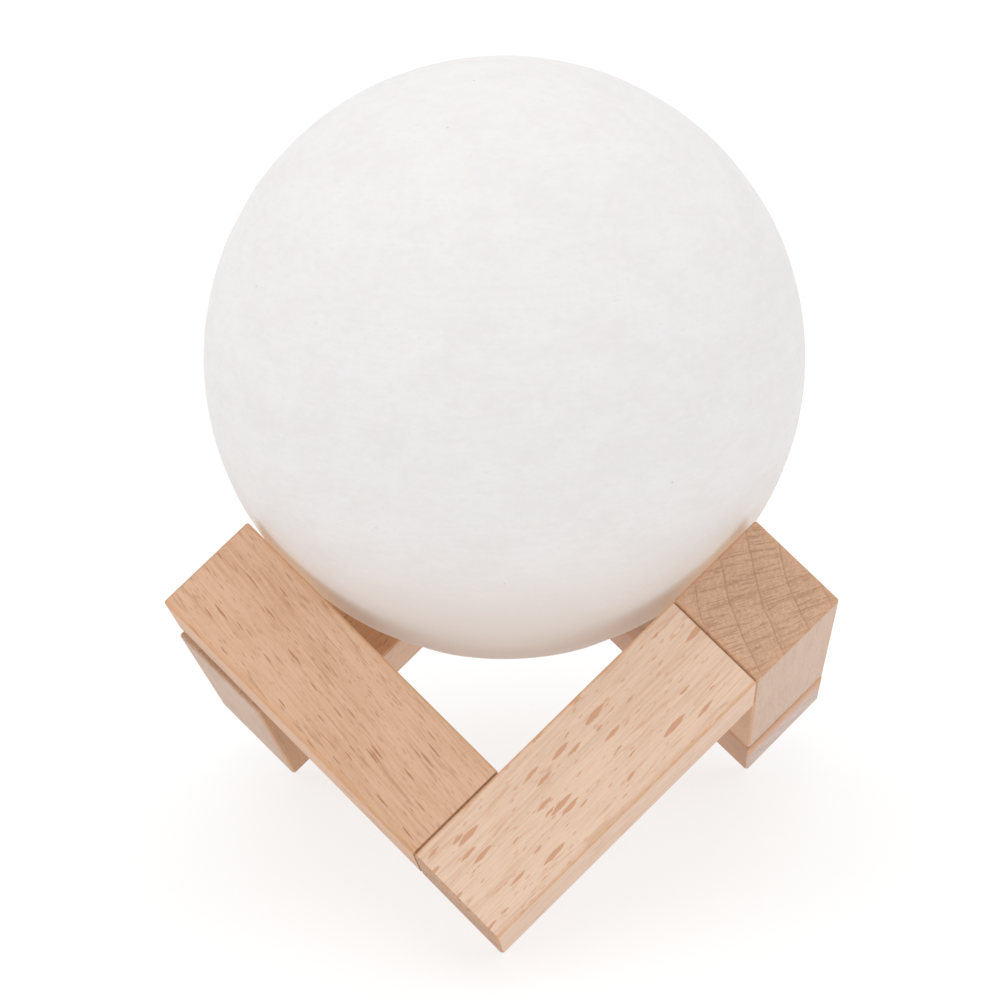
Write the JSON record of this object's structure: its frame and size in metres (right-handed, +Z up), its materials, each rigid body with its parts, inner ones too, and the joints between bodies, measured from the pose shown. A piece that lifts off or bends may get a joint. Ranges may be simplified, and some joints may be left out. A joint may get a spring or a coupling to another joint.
{
  "type": "moon lamp",
  "caption": "Battery table lamp: a hollow textured moon globe rests loose on a ring of square wooden bars that stands on three corners; a press button in the globe's base works it.",
  "frame": {"origin": "on the table, straight below the middle of the ring of bars", "axes": "+X to the right seen from the pictured front, +Y to the back, +Z up; one foot of the stand points towards -Y"},
  "size_m": [0.0866, 0.0992, 0.1087],
  "materials": {
    "beech": "fine sanded, clear oiled",
    "dowel_wood": "raw",
    "moon_plastic": "matte, fine print layers, translucent",
    "core_plastic": "matte",
    "trim_metal": "polished",
    "cover_plastic": "fine satin",
    "button_plastic": "gloss",
    "screw_steel": "zinc plated",
    "board_green": "solder mask",
    "board_white": "white solder mask",
    "black_plastic": "matte",
    "socket_steel": "plated sheet",
    "led_resin": "phosphor under clear resin",
    "clear_plastic": "clear",
    "cell_foil": "laminated foil",
    "foam": "closed-cell foam",
    "wire_red": "insulation",
    "wire_yellow": "insulation"
  },
  "bodies": {
    "stand": {"front_left_bar": "beech", "front_right_bar": "beech", "right_bar": "beech", "rear_right_bar": "beech", "rear_left_bar": "beech", "left_bar": "beech", "dowels": "dowel_wood"},
    "moon": {"moon_shell": "moon_plastic", "core_holder": "core_plastic", "flange_screws": "screw_steel", "trim_ring": "trim_metal", "cover_plate": "cover_plastic", "cover_screws": "screw_steel", "main_board": "board_green", "board_parts": "black_plastic", "board_screws": "screw_steel", "charging_socket": "socket_steel", "socket_tongue": "black_plastic", "charge_led": "led_resin", "light_pipe": "clear_plastic", "switch_body": "black_plastic", "cell": "cell_foil", "foam_pad": "foam", "cell_leads": "wire_red", "light_leads": "wire_yellow", "light_board": "board_white", "lights": "led_resin", "light_screws": "screw_steel"},
    "button": {"power_button": "button_plastic", "switch_plunger": "black_plastic"}
  },
  "joints": [
    {"name": "moon_lift", "type": "slide", "parent": "stand", "child": "moon", "axis": [0, 0, 1], "range_m": [0, 0.06]},
    {"name": "button_press", "type": "slide", "parent": "moon", "child": "button", "axis": [0, 0, 1], "range_m": [0, 0.0005], "stiffness_N_per_m": 2500, "springref_m": -0.0004}
  ]
}
